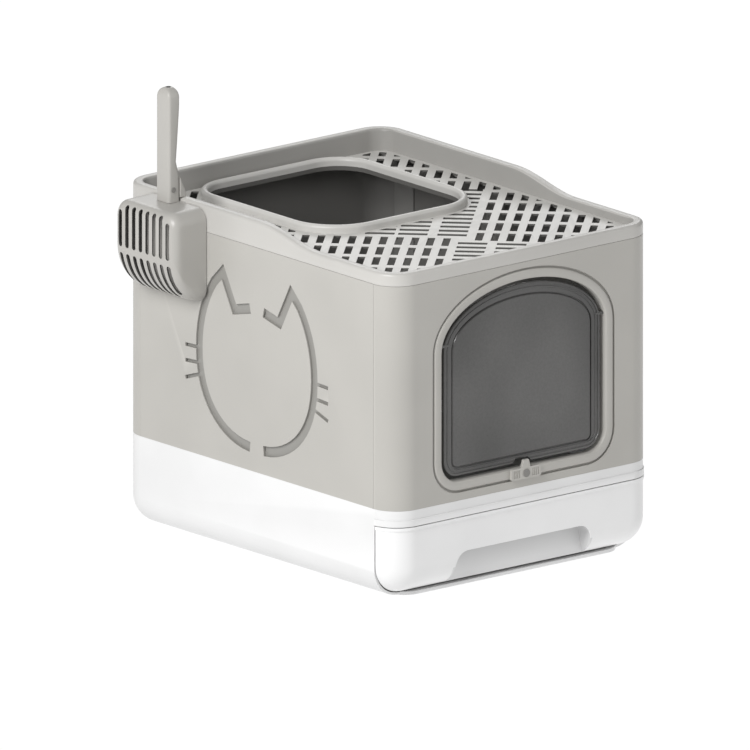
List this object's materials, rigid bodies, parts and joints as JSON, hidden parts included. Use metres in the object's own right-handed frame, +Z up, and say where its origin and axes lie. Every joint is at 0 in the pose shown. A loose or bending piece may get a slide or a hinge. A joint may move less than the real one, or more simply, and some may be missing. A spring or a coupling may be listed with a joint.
{
  "type": "hooded cat litter box",
  "caption": "Hooded cat litter box with a pull-out litter drawer, a swinging front flap, a lift-off perforated lid with a top entry, and a hanging scoop.",
  "frame": {"origin": "centre of the box's underside, on the floor, midway between the left and right walls and the front and rear walls", "axes": "+Z up, -Y towards the door and the drawer front, -X towards the side that the scoop hangs on"},
  "size_m": [0.4631, 0.5162, 0.5617],
  "materials": {
    "base_plastic": "white moulded plastic, satin gloss",
    "wall_plastic": "warm grey moulded plastic, satin gloss",
    "strip_plastic": "warm grey moulded plastic",
    "lid_plastic": "light warm grey moulded plastic, satin gloss",
    "flap_plastic": "smoked clear plastic with a fine texture",
    "pin_plastic": "moulded plastic pins",
    "latch_plastic": "warm grey moulded plastic",
    "scoop_plastic": "warm grey moulded plastic, satin gloss"
  },
  "bodies": {
    "box": {"base_shell": "base_plastic", "front_panel": "wall_plastic", "rear_panel": "wall_plastic", "left_panel": "wall_plastic", "right_panel": "wall_plastic", "corner_strip_front_left": "strip_plastic", "corner_strip_front_right": "strip_plastic", "corner_strip_rear_left": "strip_plastic", "corner_strip_rear_right": "strip_plastic", "door_bezel": "wall_plastic"},
    "flap": {"door_flap": "flap_plastic", "flap_pin_left": "pin_plastic", "flap_pin_right": "pin_plastic"},
    "latch": {"latch_bar": "latch_plastic", "latch_rivet": "pin_plastic"},
    "lid": {"lid_rim": "lid_plastic", "deck_front": "lid_plastic", "deck_left": "lid_plastic", "deck_right": "lid_plastic", "entry_collar": "lid_plastic"},
    "drawer": {"litter_drawer": "base_plastic", "drawer_front": "base_plastic"},
    "scoop": {"scoop_basket": "scoop_plastic", "scoop_handle": "scoop_plastic", "scoop_hook": "scoop_plastic", "scoop_pin": "pin_plastic"}
  },
  "joints": [
    {"name": "drawer_slide", "type": "slide", "parent": "box", "child": "drawer", "axis": [0, -1, 0], "range_m": [0, 0.4]},
    {"name": "flap_hinge", "type": "hinge", "parent": "box", "child": "flap", "pos_m": [0, -0.2495, 0.306], "axis": [1, 0, 0], "range_deg": [-70, 80]},
    {"name": "latch_turn", "type": "hinge", "parent": "box", "child": "latch", "pos_m": [0, -0.2578, 0.13], "axis": [0, 1, 0], "range_deg": [-90, 90]},
    {"name": "lid_lift", "type": "slide", "parent": "box", "child": "lid", "axis": [0, 0, 1], "range_m": [0, 0.12]},
    {"name": "scoop_lift", "type": "slide", "parent": "lid", "child": "scoop", "axis": [0, 0, 1], "range_m": [0, 0.15]}
  ]
}
